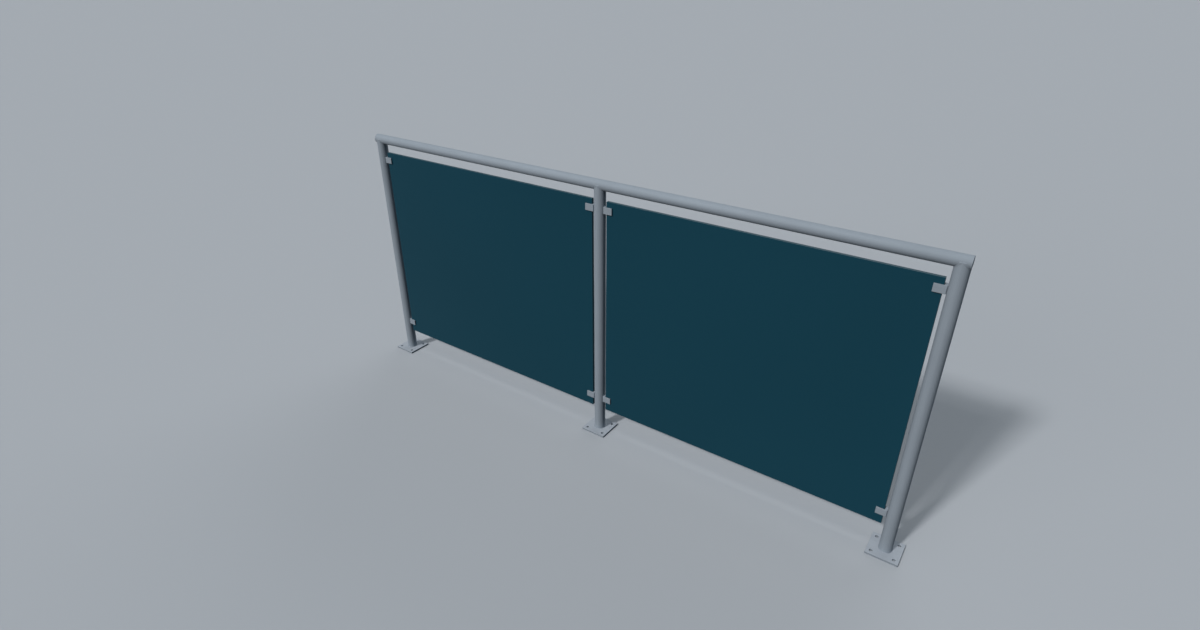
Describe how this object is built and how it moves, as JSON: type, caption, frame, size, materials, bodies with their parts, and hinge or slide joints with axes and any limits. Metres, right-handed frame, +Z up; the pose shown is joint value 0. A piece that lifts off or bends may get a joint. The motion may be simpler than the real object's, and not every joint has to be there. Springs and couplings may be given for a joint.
{
  "type": "glass balustrade",
  "caption": "Straight glass balustrade: round tube posts on square base plates, a round tube handrail and dark glass panels held in square clamps.",
  "frame": {"origin": "centre of the middle base plate's underside, on the floor", "axes": "+X along the handrail towards the right post, -Y towards the front, +Z up"},
  "size_m": [2.51, 0.11, 1.103],
  "materials": {
    "tube_steel": "satin steel tube, grain along the tube",
    "plate_steel": "satin steel plate, straight grain",
    "clamp_steel": "satin steel, fine straight grain",
    "clamp_rubber": "matt black",
    "glass": "dark blue-green tinted, polished edges"
  },
  "bodies": {
    "root": {"base_plate_left": "plate_steel", "base_plate_middle": "plate_steel", "base_plate_right": "plate_steel", "post_left": "tube_steel", "post_middle": "tube_steel", "post_right": "tube_steel", "handrail": "tube_steel", "rail_cap_left": "tube_steel", "rail_cap_right": "tube_steel", "glass_panel_left": "glass", "glass_panel_right": "glass", "clamp_body_left_upper": "clamp_steel", "clamp_body_left_lower": "clamp_steel", "clamp_body_mid_left_upper": "clamp_steel", "clamp_body_mid_left_lower": "clamp_steel", "clamp_body_mid_right_upper": "clamp_steel", "clamp_body_mid_right_lower": "clamp_steel", "clamp_body_right_upper": "clamp_steel", "clamp_body_right_lower": "clamp_steel", "clamp_cover_left_upper": "clamp_steel", "clamp_cover_left_lower": "clamp_steel", "clamp_cover_mid_left_upper": "clamp_steel", "clamp_cover_mid_left_lower": "clamp_steel", "clamp_cover_mid_right_upper": "clamp_steel", "clamp_cover_mid_right_lower": "clamp_steel", "clamp_cover_right_upper": "clamp_steel", "clamp_cover_right_lower": "clamp_steel", "clamp_rubber_left_upper": "clamp_rubber", "clamp_rubber_left_lower": "clamp_rubber", "clamp_rubber_mid_left_upper": "clamp_rubber", "clamp_rubber_mid_left_lower": "clamp_rubber", "clamp_rubber_mid_right_upper": "clamp_rubber", "clamp_rubber_mid_right_lower": "clamp_rubber", "clamp_rubber_right_upper": "clamp_rubber", "clamp_rubber_right_lower": "clamp_rubber"}
  },
  "joints": []
}
